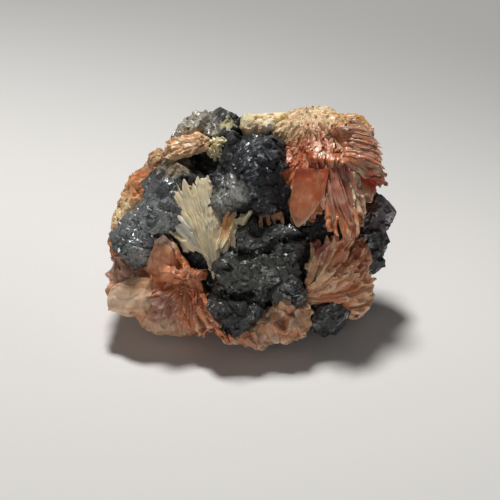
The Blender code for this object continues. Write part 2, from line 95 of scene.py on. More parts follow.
def skin_of(node, net, place, fill=0.0):
    """A CAD node's surface as an even net of small quads, its points in face millimetres. Creases
    narrower than twice fill are closed."""
    thing = bpy.data.objects.new("net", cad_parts[node].data.copy())
    bpy.context.scene.collection.objects.link(thing)
    for _ in range(2 if fill else 1):
        weave = thing.modifiers.new("net", "REMESH")
        weave.mode = "VOXEL"
        weave.voxel_size = net * MM
        if fill and len(thing.modifiers) == 1:
            grow = thing.modifiers.new("grow", "DISPLACE")
            grow.mid_level = 0
            grow.strength = fill * MM
    bpy.context.view_layer.update()
    mesh = bpy.data.meshes.new_from_object(thing.evaluated_get(bpy.context.evaluated_depsgraph_get()))
    points = np.empty(len(mesh.vertices) * 3)
    mesh.vertices.foreach_get("co", points)
    quads = np.empty(len(mesh.loops), int)
    mesh.loops.foreach_get("vertex_index", quads)
    bpy.data.objects.remove(thing)
    bpy.data.meshes.remove(mesh)
    points, quads = moved(place.inverted(), points.reshape(-1, 3)), quads.reshape(-1, 4)
    return points - fill * normals_of(points, quads), quads


def normals_of(points, quads):
    """Each point's outward direction, from the quads round it."""
    corner = points[quads]
    facing = np.cross(corner[:, 2] - corner[:, 0], corner[:, 3] - corner[:, 1])
    total = np.zeros_like(points)
    for k in range(4):
        np.add.at(total, quads[:, k], facing)
    return unit(total)


def soften(points, quads, rounds):
    """Evens the net out, a little each round."""
    for _ in range(rounds):
        total, count = np.zeros_like(points), np.zeros(len(points))
        for k in range(4):
            for step in (1, 3):
                np.add.at(total, quads[:, k], points[quads[:, (k + step) % 4]])
                np.add.at(count, quads[:, k], 1)
        points = (points + total / count[:, None]) / 2
    return points


def cell_dice(cells, salt):
    """A fixed random number from 0 to 1 for each whole-number cell."""
    x, y, z = np.moveaxis(cells.astype(np.int64), -1, 0)
    mixed = (x * 73856093 + y * 19349663 + z * 83492791 + salt * 50331653) & 0xFFFFFFFF
    for _ in range(2):
        mixed = ((mixed ^ (mixed >> 16)) * 0x45D9F3B) & 0xFFFFFFFF
    return (mixed ^ (mixed >> 16)) / 0xFFFFFFFF


def ripple(points, size, salt, octaves=1):
    """Smooth noise from about -1 to 1, with swells that far apart, at each point."""
    total, share = 0, 1
    for octave in range(octaves):
        spot = points * (2 ** octave / size)
        cell = np.floor(spot)
        t = spot - cell
        t = t * t * (3 - 2 * t)
        value = 0
        for corner in np.ndindex(2, 2, 2):
            weight = np.prod(np.where(corner, t, 1 - t), axis=1)
            value = value + weight * cell_dice(cell + corner, salt + octave)
        total = total + share * (2 * value - 1)
        share = share / 2
    return total


def owner_cells(points, size, salt):
    """For each point, the cell of the scattered seed that it lies nearest to."""
    spot = points / size
    home = np.floor(spot)
    best = np.full(len(points), np.inf)
    owner = home.copy()
    for step in np.ndindex(3, 3, 3):
        near = home + step - 1
        seed = near + np.stack([cell_dice(near, salt + k) for k in range(3)], axis=-1)
        away = np.abs(seed - spot)
        gap = away.max(axis=1) * CELL_BLOCK + np.linalg.norm(away, axis=1) * (1 - CELL_BLOCK)
        closer = gap < best
        best = np.where(closer, gap, best)
        owner = np.where(closer[:, None], near, owner)
    return owner


def cleave(points, quads, size, step, lean, strength, salt, turn):
    """Breaks the skin into flats about that size. Each flat leans towards its nearest cube face and
    sits up to step above or below the old skin."""
    normals = normals_of(points, quads)
    axes = np.array(Matrix.Rotation(turn[0], 3, "X") @ Matrix.Rotation(turn[1], 3, "Y")
                    @ Matrix.Rotation(turn[2], 3, "Z"))
    cells, owner = np.unique(owner_cells(points @ axes, size, salt), axis=0, return_inverse=True)
    owner = owner.reshape(-1)
    count = np.bincount(owner)[:, None]
    middle = np.stack([np.bincount(owner, points[:, k]) for k in range(3)], axis=1) / count
    facing = unit(np.stack([np.bincount(owner, normals[:, k]) for k in range(3)], axis=1))
    share = facing @ axes
    pick = np.abs(share).argmax(axis=1)
    cube_face = axes.T[pick] * np.sign(share[np.arange(len(pick)), pick])[:, None]
    plane = unit(facing * (1 - lean) + cube_face * lean)
    height = (2 * cell_dice(cells, salt + 9) - 1) * step
    rise = ((middle[owner] - points) * plane[owner]).sum(axis=1) + height[owner]
    rise = np.clip(rise, -size / 2, size / 2) * strength
    return points + plane[owner] * rise[:, None]


def away_from(points, line):
    """How far each point is from a line of (a, b) points drawn on the face."""
    flat = points[:, :2]
    nearest = np.full(len(points), np.inf)
    for start, end in zip(line, line[1:]):
        start, end = np.array(start), np.array(end)
        t = np.clip((flat - start) @ (end - start) / ((end - start) @ (end - start)), 0, 1)
        nearest = np.minimum(nearest, np.linalg.norm(flat - start - t[:, None] * (end - start), axis=1))
    return nearest


def zoned(points, base, zones):
    """The base colour, with each zone's colour blended in round its (a, b) centre."""
    stray = np.stack([ripple(points, ZONE_SWELL, salt, 2) for salt in (40, 45)], axis=1)
    spots = points[:, :2] + ZONE_STRAY * stray
    tint = np.tile(base, (len(points), 1))
    for centre, reach, colour in zones:
        share = np.clip(ZONE_FADE - np.linalg.norm(spots - centre, axis=1) / reach, 0, 1)
        tint = tint + (colour - tint) * share[:, None]
    return tint


class Growth:
    """What one piece is made of, gathered in face millimetres before it becomes a mesh."""

    def __init__(self, place):
        self.place = place
        self.total = 0
        self.lots = []

    def add(self, points, quads, tint, grain, rim):
        """tint is each point's colour, grain its place in the crystal's own length and width, and rim how
        near it is to a thin edge; on crystals it also holds the painted highlight on crests and raised
        ends."""
        self.lots.append((points, quads + self.total, tint, grain, rim))
        self.total += len(points)

    def made(self, name, finish, crease=math.radians(35), wander=0.0):
        """The finished piece, with nothing of it lower than what the rock stands on. Its straight
        lines wander by about that many millimetres."""
        points, quads, tint, grain, rim = (np.concatenate(lot) for lot in zip(*self.lots))
        if wander:
            stray = [ripple(points, WANDER_SWELL, salt, 3) for salt in (80, 83, 86)]
            points = points + wander * np.stack(stray, axis=1)
        points = moved(self.place, points)
        points[:, 2] = np.maximum(points[:, 2], 0)
        mesh = bpy.data.meshes.new(name)
        mesh.from_pydata(points, [], quads)
        mesh.attributes.new("tint", "FLOAT_COLOR", "POINT").data.foreach_set(
            "color", np.column_stack((np.clip(tint, 0, 1), np.ones(len(tint)))).ravel())
        mesh.attributes.new("grain", "FLOAT_VECTOR", "POINT").data.foreach_set("vector", grain.ravel())
        mesh.attributes.new("rim", "FLOAT", "POINT").data.foreach_set("value", rim)
        mesh.materials.append(finish)
        mesh.shade_smooth()
        mesh.set_sharp_from_angle(angle=crease)
        mesh.update()
        piece = bpy.data.objects.new(name, mesh)
        bpy.context.scene.collection.objects.link(piece)
        return piece


class Flow:
    """A value, colour or vector on its way through a material's nodes."""

    def __init__(self, socket):
        self.socket = socket

    def node(self, kind, settings=None, sockets=None, output=0):
        """An output of a new node: its settings are set first, then its sockets' values or links."""
        tree = self.socket.id_data
        made = tree.nodes.new(kind)
        for name, value in (settings or {}).items():
            setattr(made, name, value)
        for name, value in (sockets or {}).items():
            if isinstance(value, Flow):
                tree.links.new(value.socket, made.inputs[name])
            else:
                made.inputs[name].default_value = value
        return Flow(made.outputs[output])

    def maths(self, operation, first, second):
        return self.node("ShaderNodeMath", {"operation": operation}, {0: first, 1: second})

    def __add__(self, other):
        return self.maths("ADD", self, other)

    def __sub__(self, other):
        return self.maths("SUBTRACT", self, other)

    def __rsub__(self, other):
        return self.maths("SUBTRACT", other, self)

    def __mul__(self, other):
        return self.maths("MULTIPLY", self, other)

    __radd__ = __add__
    __rmul__ = __mul__

    def between(self, low, high):
        """0 up to low, 1 from high on, and smooth between the two."""
        return self.node("ShaderNodeMapRange", {"interpolation_type": "SMOOTHSTEP"},
                         {"Value": self, "From Min": low, "From Max": high})

    def scaled(self, factors):
        return self.node("ShaderNodeVectorMath", {"operation": "MULTIPLY"}, {0: self, 1: factors})

    def noise(self, size, detail=2.0, roughness=0.5):
        """Noise over this vector, in swells that far apart."""
        return self.node("ShaderNodeTexNoise", None, {"Vector": self, "Scale": 1 / size,
                                                      "Detail": detail, "Roughness": roughness})

    def cells(self, size, output="Color"):
        return self.node("ShaderNodeTexVoronoi", None, {"Vector": self, "Scale": 1 / size}, output)

    def mixed(self, other, share, blend="MIX"):
        """This colour with the other one blended in."""
        other = other if isinstance(other, Flow) else (*other, 1)
        return self.node("ShaderNodeMix", {"data_type": "RGBA", "blend_type": blend},
                         {0: share, 6: self, 7: other}, output=2)

    def bumped(self, depth, normal=None):
        """The surface direction where this height, times depth in millimetres, stands out."""
        sockets = {"Height": self, "Distance": depth * MM, "Strength": 1.0}
        if normal:
            sockets["Normal"] = normal
        return self.node("ShaderNodeBump", None, sockets)


def new_finish(name, **fixed):
    """A material, its Principled surface with the fixed values set, and a Flow to start from."""
    material = bpy.data.materials.new(name)
    material.use_nodes = True
    surface = material.node_tree.nodes["Principled BSDF"]
    for socket, value in fixed.items():
        surface.inputs[socket.replace("_", " ")].default_value = value
    return material, surface, Flow(surface.outputs[0])


def feed(surface, **flows):
    for socket, flow in flows.items():
        surface.id_data.links.new(flow.socket, surface.inputs[socket.replace("_", " ")])


def attribute(start, name, output):
    return start.node("ShaderNodeAttribute", {"attribute_name": name}, None, output)


def galena_finish():
    """Lead-grey metal. Each grain tips the light its own way, and tarnish dulls it in patches. Its rim
    attribute says how much of it crust covers."""
    material, surface, start = new_finish("galena", Specular_IOR_Level=0.5)
    spot = start.node("ShaderNodeTexCoord", None, None, "Object").scaled((1 / MM, 1 / MM, 1 / MM))
    tint = attribute(start, "tint", "Color")
    crust = attribute(start, "rim", "Fac")
    tarnish = spot.noise(TARNISH_SIZE, 4.0, 0.6)
    grit = spot.noise(GRIT_SIZE, 3.0, 0.7)
    grain = spot.cells(GRAIN_SIZE)
    glint = grain.node("ShaderNodeSeparateColor", None, {0: grain}, "Red")
    fresh = (glint * 0.6 + tarnish * 2.6).between(1.62, 2.05) * (1 - crust)
    colour = tint.mixed(FRESH_METAL, fresh * 0.5)
    # The low spots of the grit bump are drawn near black: painted shade in the pits.
    colour = colour.mixed(PIT_PAINTED_SHADE, grit.between(0.52, 0.36) * 0.6)
    lean = grain.node("ShaderNodeVectorMath", {"operation": "SUBTRACT"}, {0: grain, 1: (0.5, 0.5, 0.5)})
    lean = lean.scaled((GRAIN_LEAN, GRAIN_LEAN, GRAIN_LEAN))
    facing = start.node("ShaderNodeNewGeometry", None, None, "Normal")
    facing = lean.node("ShaderNodeVectorMath", {"operation": "ADD"}, {0: facing, 1: lean})
    facing = facing.node("ShaderNodeVectorMath", {"operation": "NORMALIZE"}, {0: facing})
    feed(surface, Base_Color=colour, Metallic=(0.55 + fresh * 0.4) * (1 - crust),
         Roughness=0.58 - fresh * 0.26 - tarnish * 0.1 + crust * 0.25,
         Normal=grit.bumped(0.08, facing))
    return material


FRONT = face_frame(1, FACE_FOOT, FACE_LEAN)
GALENA_DARK = srgb(80, 81, 82)
GALENA_ZONES = (
    ((1, 44), 9, srgb(52, 54, 60)),
    ((-26, 33), 9, srgb(160, 164, 165)),
    ((-5.2, 38.6), 4, srgb(196, 197, 192)),
    ((-16, 58), 5.5, srgb(206, 200, 184)),
    ((1, 21), 9, srgb(94, 95, 89)),
    ((33, 36), 6, srgb(100, 90, 94)),
)
GALENA_CRUSTS = (
    ((-11, 60.2), (6.5, 2.6), srgb(220, 208, 156)),
    ((-2.5, 61), (3.5, 2), srgb(150, 148, 112)),
    ((-19.5, 47.5), (3.4, 2.2), srgb(168, 148, 120)),
)
points, quads = skin_of("galena_mass", GALENA_NET, FRONT, fill=CREASE_FILL)
points = soften(points, quads, SOFT_ROUNDS)
points = points + SKIN_SWELL * normals_of(points, quads)
near = np.exp(-np.sum((points[:, :2] - KNOB_CORNER) ** 2, axis=1) / KNOB_REACH ** 2)
points[:, :2] += (np.array(KNOB_MIDDLE) - points[:, :2]) * (KNOB_PULL * near)[:, None]
for centre, reach, depth in GALENA_HOLLOWS:
    near = np.hypot(*(points[:, :2] - centre).T) / reach
    points[:, 2] -= depth * np.exp(-near ** 4) * (points[:, 2] > 0)
for size, step, salt in GALENA_CLEAVES:
    points = cleave(points, quads, size, step, lean=CUBE_LEAN, strength=1, salt=salt, turn=GALENA_TURN)
normals = normals_of(points, quads)
crack = sum(np.exp(-(away_from(points, line) / CRACK_WIDTH) ** 2) for line in GALENA_CRACKS)
crack = crack * (points[:, 2] > 0)
points = points - normals * (CRACK_DEPTH * crack)[:, None]
# Cracks are pressed in and also drawn darker, as painted shade.
tint = zoned(points, GALENA_DARK, GALENA_ZONES) * (1 - CRACK_PAINTED_SHADE * crack)[:, None]
crust = np.zeros(len(points))
for centre, reach, colour in GALENA_CRUSTS:
    near = np.linalg.norm((points[:, :2] - centre) / reach, axis=1)
    ragged = CRUST_RAGGED * ripple(points, CRUST_SWELL, 70, 3)
    patch = np.clip(CRUST_COVER - CRUST_FADE * near + ragged, 0, 1) * (points[:, 2] > 0)
    tint = tint + (colour - tint) * patch[:, None]
    crust = np.maximum(crust, patch)
galena_skin = Growth(FRONT)
galena_skin.add(points, quads, tint, points, crust)
galena = galena_skin.made("galena_matrix", galena_finish(), crease=FLAT_CREASE)
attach(galena, "root")
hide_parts("galena_mass")

# The great barite fan. Thin plates of barium sulphate grew out of one root under the top of the
# rock; they hang and sweep to the right, deep salmon at the root and paler at their broken ends.
CRYSTAL_NET = 0.32
BLADE_ROWS, BLADE_WIDTHS = 48, (0.4, 1.8)
TIP_DROP, FIBRE_RISE, FIBRE_STRETCH = 0.35, 0.16, (2.2, 0.16, 1)
FIBRE_REACH, GRAIN_APART, BLADE_STACK = 11, 7, 2
LINE_STEPS, LINE_ROUNDS = 101, 30
DRAPE_STEPS, DRAPE_FROM, DRAPE_DROP = 14, 50, 7
SCALE_SIZES, SCALE_SHADES = (0.55, 1.15), (0.85, 1.12)
BED_CLEAVES, BED_TURN, BED_LEAN, BED_STRENGTH = ((2.6, 0.4), (1.2, 0.2)), (0.3, 0.8, 0.2), 0.1, 0.8
FLAT_STRAY, FLAT_LIFT, PALE_SHARE = 0.3, 1.2, 0.55
STREAK_STRETCH, CLOUD_SIZE, STREAK_DEPTH = (2.4, 0.2, 1), 1.7, 0.16


def sheet_faces(rows, columns):
    """The quads of a closed sheet: one grid above, one below, and a strip round the rim."""
    grid = np.arange(rows * columns).reshape(rows, columns)
    above = np.stack((grid[:-1, :-1], grid[1:, :-1], grid[1:, 1:], grid[:-1, 1:]), -1).reshape(-1, 4)
    below = above[:, ::-1] + rows * columns
    round_it = np.concatenate((grid[0, :-1], grid[:-1, -1], grid[-1, :0:-1], grid[:0:-1, 0]))
    following = np.roll(round_it, -1)
    rim = np.stack((round_it, following, following + rows * columns, round_it + rows * columns), -1)
    return np.concatenate((above, below, rim))


def line_at(points, shares):
    """Where a rounded line through (a, b) points is, at each share of its way."""
    dense = np.linspace(0, 1, LINE_STEPS)
    stops = np.linspace(0, 1, len(points))
    line = np.stack([np.interp(dense, stops, [point[k] for point in points]) for k in (0, 1)], axis=-1)
    for _ in range(LINE_ROUNDS):
        line[1:-1] = (line[:-2] + 2 * line[1:-1] + line[2:]) / 4
    return np.stack([np.interp(shares, dense, line[:, k]) for k in (0, 1)], axis=-1)


def evened(grid):
    """A grid's values averaged with their neighbours; missing ones take what is next to them."""
    padded = np.pad(grid, 1, mode="edge")
    around = np.stack((padded[:-2, 1:-1], padded[2:, 1:-1], padded[1:-1, :-2], padded[1:-1, 2:], grid))
    known = ~np.isnan(around)
    total = np.where(known, around, 0).sum(axis=0)
    return np.where(known.any(axis=0), total / np.maximum(known.sum(axis=0), 1), np.nan)


def draped(node, place, roots, tips):
    """How far out of the face a solid reaches between two lines, as a grid without its gaps."""
    corners = [place.inverted() @ vertex.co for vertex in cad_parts[node].data.vertices]
    tree = BVHTree.FromPolygons(corners, [face.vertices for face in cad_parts[node].data.polygons])
    shares = np.linspace(0, 1, DRAPE_STEPS)
    first, last = line_at(roots, shares), line_at(tips, shares)
    grid = np.full((DRAPE_STEPS, DRAPE_STEPS), np.nan)
    for i, j in np.ndindex(grid.shape):
        a, b = first[j] + (last[j] - first[j]) * (i / (DRAPE_STEPS - 1))
        hit = tree.ray_cast(Vector((a, b, DRAPE_FROM)), Vector((0, 0, -1)))[0]
        grid[i, j] = hit.z if hit else np.nan
    grid[grid < np.nanmedian(grid) - DRAPE_DROP] = np.nan
    while np.isnan(grid).any():
        grid = np.where(np.isnan(grid), evened(grid), grid)
    for _ in range(2):
        grid = np.maximum(grid, evened(grid))
    for _ in range(2):
        grid = evened(grid)
    return grid


def read_grid(grid, u, t):
    """The grid's value at each share u down its rows and t across its columns."""
    row, column = (np.clip(share * (n - 1), 0, n - 1.001) for share, n in zip((u, t), grid.shape))
    i, j = row.astype(int), column.astype(int)
    row, column = row - i, column - j
    return ((grid[i, j] * (1 - row) + grid[i + 1, j] * row) * (1 - column)
            + (grid[i, j + 1] * (1 - row) + grid[i + 1, j + 1] * row) * column)


def blades(growth, node, roots, tips, count, depth, colours, seed, lift=0.3, bow=(0, 0), ragged=0.15,
           chisel=0.12, thick=1.4, saw=0.6, shard=4.5, sink=1.2, share=9):
    """Blades that grew side by side, as one pleated sheet laid over the solid. roots and tips are
    lines of (a, b) points; every blade between them has its own height, lean, shade and broken end,
    and is broken into shards about that long, each one lifting off the next. The roots go that far
    into the crust."""
    dice = random.Random(seed)
    edges = np.cumsum([0] + [dice.uniform(*BLADE_WIDTHS) for _ in range(count)])
    edges = edges / edges[-1]
    own = np.array([[dice.random() for _ in range(6)] for _ in range(count)])
    end, level, shade, skew, lean, start = np.repeat(own.T, share, axis=1)
    across = np.tile(np.linspace(-1, 1, share), count)
    t = np.repeat(edges[:-1], share) + np.repeat(np.diff(edges), share) * (across + 1) / 2
    u = np.linspace(0, 1, BLADE_ROWS)[:, None]
    reach = u * (1 - ragged * end ** 2 - chisel * np.abs(across - skew + 0.5))
    root, tip = line_at(roots, t), line_at(tips, t)
    spots = root + (tip - root) * reach[..., None] + np.array(bow) * (4 * reach * (1 - reach))[..., None]
    length = np.linalg.norm(tip - root, axis=1)
    wide = np.linalg.norm(tip[-1] - tip[0])
    own_grain = np.repeat(np.arange(count), share) * GRAIN_APART + seed
    grain = np.stack((t * wide + 0 * u, reach * length, own_grain + 0 * u), axis=-1)
    fine = ripple((grain * FIBRE_STRETCH).reshape(-1, 3), 1, seed, 3).reshape(reach.shape)
    crest = saw * (0.4 + lean) * across / 2 + (1 - saw) * (0.5 - across ** 2) + 0.6 * (level - 0.5)
    height = read_grid(draped(node, growth.place, roots, tips), reach, t + 0 * u) + lift
    shards = reach * length / shard + 0.9 * start * 4 + 0.25 * (skew - 0.5) * across + 0.25 * fine
    raised = shards - np.floor(shards) - 0.5 if shard else 0 * reach
    height = height + (depth * (crest + 0.7 * raised) + FIBRE_RISE * fine) * np.minimum(1, 3 * u)
    height = height - sink * np.clip(1 - 6 * u, 0, 1) - TIP_DROP * u ** 6
    top = np.dstack((spots, height))
    bottom = top - np.dstack((0 * height, 0 * height, thick * (1 - 0.6 * u) + 0 * height))
    cloud = ripple(top.reshape(-1, 3), 3, seed + 3, 4).reshape(reach.shape)
    # Colour pales from root to tip and in cloudy patches; lifted shard ends are also drawn paler, as
    # painted highlight.
    paler = np.clip(reach ** 1.3 + 0.35 * raised + 0.6 * cloud, 0, 1)
    tint = np.array(colours[0]) + (np.array(colours[1]) - colours[0]) * paler[..., None]
    # The grooves between the ribs and below lifted shards are drawn darker: painted shade.
    painted_groove_shade = np.clip(-1.4 * (crest + 0.6 * raised + 0.4 * fine), 0, 1)
    tint = tint * ((0.9 + 0.2 * shade) * (1 - 0.16 * painted_groove_shade))[..., None]
    # rim marks thin tips and broken ends, and also the crests, which the finish draws paler as painted
    # highlight.
    rim = np.maximum(np.clip(1.3 * crest, 0, 1) ** 2, np.maximum(u ** 12, np.clip(raised + 0.5, 0, 1) ** 8))
    # A sheet whose lines run the other way round is turned over, so that its faces look outwards.
    ahead, aside = (tip - root).mean(axis=0), tip[-1] - tip[0] + root[-1] - root[0]
    way = 1 if ahead[0] * aside[1] > ahead[1] * aside[0] else -1
    sides = [np.concatenate([part[:, ::way].reshape(BLADE_ROWS * len(t), -1) for part in pair])
             for pair in ((top, bottom), (tint, tint), (grain, grain), (rim, rim))]
    growth.add(sides[0], sheet_faces(BLADE_ROWS, len(t)), sides[1], sides[2], sides[3][:, 0])


def scales(growth, skin, count, length, width, thick, stand, colours, seed, where=None, edge_on=0.1):
    """Small plates rooted all over a skin, standing off it by the share stand; where picks the part
    of the skin that they grow on."""
    points, normals = skin
    allowed = np.arange(len(points)) if where is None else np.flatnonzero(where)
    dice = random.Random(seed)
    u, v = np.meshgrid(np.linspace(0, 1, 5), np.linspace(-1, 1, 4), indexing="ij")
    for _ in range(count):
        i = allowed[dice.randrange(len(allowed))]
        out = normals[i]
        stray = np.array([dice.gauss(0, 1) for _ in range(3)])
        along = unit(stray - out * (stray @ out))
        heading = unit(out * stand + along * (1 - stand))
        lean = out * (1 - edge_on) + np.cross(out, along) * edge_on * dice.choice((-1, 1))
        side = unit(np.cross(lean, heading))
        broad = np.cross(heading, side)
        size = dice.uniform(*SCALE_SIZES)
        reach = u * (1 - dice.uniform(0, 0.25) * v ** 2 - dice.uniform(-0.15, 0.15) * v) - 0.35
        spread = v * (0.75 + 0.25 * np.sin(math.pi * u)) * width / 2
        half = thick / 2 * (1 - 0.5 * u ** 2) * (1 - 0.4 * v ** 2)
        middle = points[i] + size * (heading * (length * reach)[..., None] + side * spread[..., None])
        sheets = [middle + broad * half[..., None], middle - broad * half[..., None]]
        first, last = colours[dice.randrange(len(colours))]
        tint = (first + (np.array(last) - first) * u[..., None]) * dice.uniform(*SCALE_SHADES)
        grain = np.dstack((v * width, u * length, 0 * u + dice.uniform(0, 400)))
        rim = np.maximum(np.abs(v) ** 3, u ** 6)
        growth.add(np.concatenate([sheet.reshape(-1, 3) for sheet in sheets]), sheet_faces(*u.shape),
                   np.tile(tint.reshape(-1, 3), (2, 1)), np.tile(grain.reshape(-1, 3), (2, 1)),
                   np.tile(rim.ravel(), 2))


def bed_of(growth, node, net, shrink, rough, salt, base, zones=()):
    """The granular crust that small crystals grow out of: the solid's form, sunk by shrink."""
    points, quads = skin_of(node, net, growth.place)
    points = soften(points, quads, 2)
    for size, step in BED_CLEAVES:
        points = cleave(points, quads, size, step, BED_LEAN, BED_STRENGTH, salt, BED_TURN)
    normals = normals_of(points, quads)
    lumps = 0.8 * ripple(points, 2.2, salt, 2) + 0.6 * ripple(points, 0.9, salt + 5, 2)
    points = points + normals * (rough * lumps - shrink)[:, None]
    # The crust's bumps are drawn lighter and its dips darker: painted light and shade on the relief.
    tint = zoned(points, base, zones) * (1 + 0.2 * np.clip(lumps, -1, 1))[:, None]
    growth.add(points, quads, tint, points, np.zeros(len(points)))
    return points, normals_of(points, quads)


def packed(growth, node, net, centre, length, width, salt, base, pale, zones=(), rise=0.14, tilt=0.5,
           step=0.3):
    """Blades packed side by side that run out from a centre. Each is a long flat, about that long and
    that wide at FIBRE_REACH from the centre; its far end stands over the next one's root."""
    points, quads = skin_of(node, net, growth.place)
    points = soften(points, quads, 2)
    normals = normals_of(points, quads)
    away = np.linalg.norm(points - centre, axis=1)
    heading = unit(points - centre)
    ribs = unit((points - centre)[:, :2]) * FIBRE_REACH
    stack = points[:, 2] / BLADE_STACK
    spots = np.stack(((ribs[:, 0] + stack) / width, (ribs[:, 1] + stack) / width, away / length), axis=1)
    spots = spots + FLAT_STRAY * np.stack([ripple(points, 3, salt + k, 2) for k in (60, 62, 64)], axis=1)
    cells, owner = np.unique(owner_cells(spots, 1, salt), axis=0, return_inverse=True)
    owner = owner.reshape(-1)

    def mean_of(values):
        total = np.stack([np.bincount(owner, column) for column in values.T], axis=1)
        return total / np.bincount(owner)[:, None]

    middle, facing, along = mean_of(points), unit(mean_of(normals)), unit(mean_of(heading))
    dice = [2 * cell_dice(cells, salt + k)[:, None] - 1 for k in (21, 22, 23)]
    plane = unit(facing - rise * along + tilt * dice[0] * np.cross(facing, along))
    lift = ((middle[owner] - points) * plane[owner]).sum(axis=1) + step * dice[1][owner, 0]
    lift = np.clip(lift, -FLAT_LIFT, FLAT_LIFT) * np.clip((normals * plane[owner]).sum(axis=1), 0, 1)
    points = points + plane[owner] * lift[:, None]
    end = (away - np.linalg.norm(middle - centre, axis=1)[owner]) / length
    cloud = ripple(points, 3, salt + 31, 4)
    # Raised flats are drawn paler, as painted highlight, and sunk ones darker, as painted shade; each flat
    # also pales towards its far end and in cloudy patches.
    paler = np.clip(end + lift + 0.4 * cloud, 0, 1)
    tint = zoned(points, base, zones) * (1 + 0.12 * dice[2][owner] - 0.3 * np.clip(-lift, 0, 1)[:, None])
    tint = tint + (pale - tint) * (PALE_SHARE * paler)[:, None]
    grain = np.stack((ribs[:, 0] + stack, away, 3 * ribs[:, 1] + GRAIN_APART * dice[2][owner, 0]), axis=1)
    # The rim that the finish draws paler is each flat's far end and, as painted highlight, how far the flat
    # is raised.
    growth.add(points, quads, tint, grain, np.clip(2 * end + lift, 0, 1) ** 2)
    return points, normals_of(points, quads)


def crystal_finish(name, edge_and_highlight_colour, deep=(0.7, 0.54, 0.44), radius=(1.0, 0.7, 0.55), roughness=0.2):
    """Clear-edged crystal: fine streaks run along each plate, thin rims are paler, crests and lifted ends
    are drawn in the same pale colour as painted highlight, and light goes a little way in."""
    material, surface, start = new_finish(name, Subsurface_Weight=0.5, Subsurface_Scale=1.2 * MM,
                                          Subsurface_Radius=radius, IOR=1.64, Coat_Weight=0.2,
                                          Coat_Roughness=0.2)
    tint = attribute(start, "tint", "Color")
    grain = attribute(start, "grain", "Vector")
    rim = attribute(start, "rim", "Fac")
    fibres = grain.scaled(STREAK_STRETCH).noise(1.0, 4.0, 0.65)
    cloud = grain.noise(CLOUD_SIZE, 4.0, 0.6)
    deep = tint.mixed(deep, 1.0, "MULTIPLY")
    colour = tint.mixed(deep, fibres.between(0.58, 0.36) * 0.35)
    colour = colour.mixed(deep, cloud.between(0.6, 0.38) * 0.45)
    # Rims, crests and lifted ends blend towards the pale colour: partly the thin edges' own paleness,
    # partly painted highlight.
    colour = colour.mixed(edge_and_highlight_colour, (rim + fibres * 0.6 - 0.35).between(0.2, 1.0) * 0.5)
    height = fibres + cloud * 0.6
    feed(surface, Base_Color=colour, Roughness=roughness + cloud * 0.3,
         Normal=height.bumped(STREAK_DEPTH))
    return material


SALMON_EDGE_AND_HIGHLIGHT = srgb(250, 222, 192)
SALMON_DEEP, SALMON = srgb(206, 112, 68), srgb(222, 142, 96)
PEACH, MOSAIC = srgb(236, 176, 132), srgb(198, 114, 76)
PINK_BROWN, PINK_PALE = srgb(184, 108, 86), srgb(226, 176, 154)
CREAM, OCHRE, MAUVE = srgb(250, 226, 182), srgb(226, 184, 110), srgb(168, 108, 104)
RED_ORANGE, CLEAR_PALE, ROSE = srgb(204, 108, 84), srgb(222, 206, 176), srgb(194, 120, 102)
PLATE_ROOT, PLATE_TIP = srgb(186, 88, 50), srgb(196, 134, 98)
GREAT_FAN_CENTRE = np.array((15, 63, -6))
GREAT_FAN_ZONES = (
    ((19, 61.5), 5, CREAM),
    ((18, 52.5), 5, MOSAIC),
    ((8, 58), 6, CREAM),
    ((29, 59), 4, OCHRE),
    ((33, 50), 7, ROSE),
    ((28, 57), 2.5, MAUVE),
    ((27, 42), 4, CLEAR_PALE),
    ((33.5, 44.5), 2.5, RED_ORANGE),
    ((12, 48), 4, SALMON_DEEP),
)
GREAT_FAN_BLADES = (
    dict(roots=((21, 57), (22.4, 53.4), (25, 46.6)), tips=((33.2, 55.4), (35.4, 51), (36.2, 41.6)),
         count=9, depth=0.4, seed=11, bow=(0.6, 1.2), ragged=0.12, shard=4, share=11,
         colours=(SALMON, PINK_PALE)),
    dict(roots=((16, 49.6), (25.6, 47.6)), tips=((18.6, 33.8), (26, 27), (31.4, 33.6)), count=8,
         depth=1, seed=15, lift=0.5, ragged=0.22, chisel=0.25, saw=0.95, shard=0, thick=2.2,
         share=14, colours=(PINK_BROWN, PINK_PALE)),
    dict(roots=((12.2, 46.4), (20.9, 46.6)), tips=((10.7, 35.5), (12.8, 30.8), (17, 35.5), (19.6, 39.7)),
         count=1, depth=0.3, seed=16, lift=1.5, ragged=0, chisel=0, saw=0.3, shard=0, thick=2.4, sink=0,
         share=24, colours=(PLATE_ROOT, PLATE_TIP)),
    dict(roots=((15, 51.4), (23.6, 50.8)), tips=((15.6, 46.6), (23, 46.2)), count=6, depth=0.6, seed=17,
         lift=0.8, ragged=0.4, chisel=0.2, shard=0, thick=1.8, colours=(SALMON_DEEP, PEACH)),
)
salmon_finish = crystal_finish("salmon_barite", SALMON_EDGE_AND_HIGHLIGHT)
great_fan = Growth(FRONT)
great_bed = packed(great_fan, "barite_fan_upper_right", CRYSTAL_NET, GREAT_FAN_CENTRE, length=6,
                   width=0.65, salt=101, base=SALMON, pale=PEACH, zones=GREAT_FAN_ZONES)
for sheet in GREAT_FAN_BLADES:
    blades(great_fan, "barite_fan_upper_right", **sheet)
bed_points = great_bed[0]
granular = bed_points[:, 1] + 0.5 * np.abs(bed_points[:, 0] - 18) > 60
scales(great_fan, great_bed, count=420, length=0.8, width=0.7, thick=0.3, stand=0.1, seed=112,
       colours=((CREAM, CREAM), (OCHRE, CREAM), (PEACH, CREAM)), where=granular)
piece = great_fan.made("great_barite_fan", salmon_finish, wander=0.3)
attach(piece, "root")
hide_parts("barite_fan_upper_right")

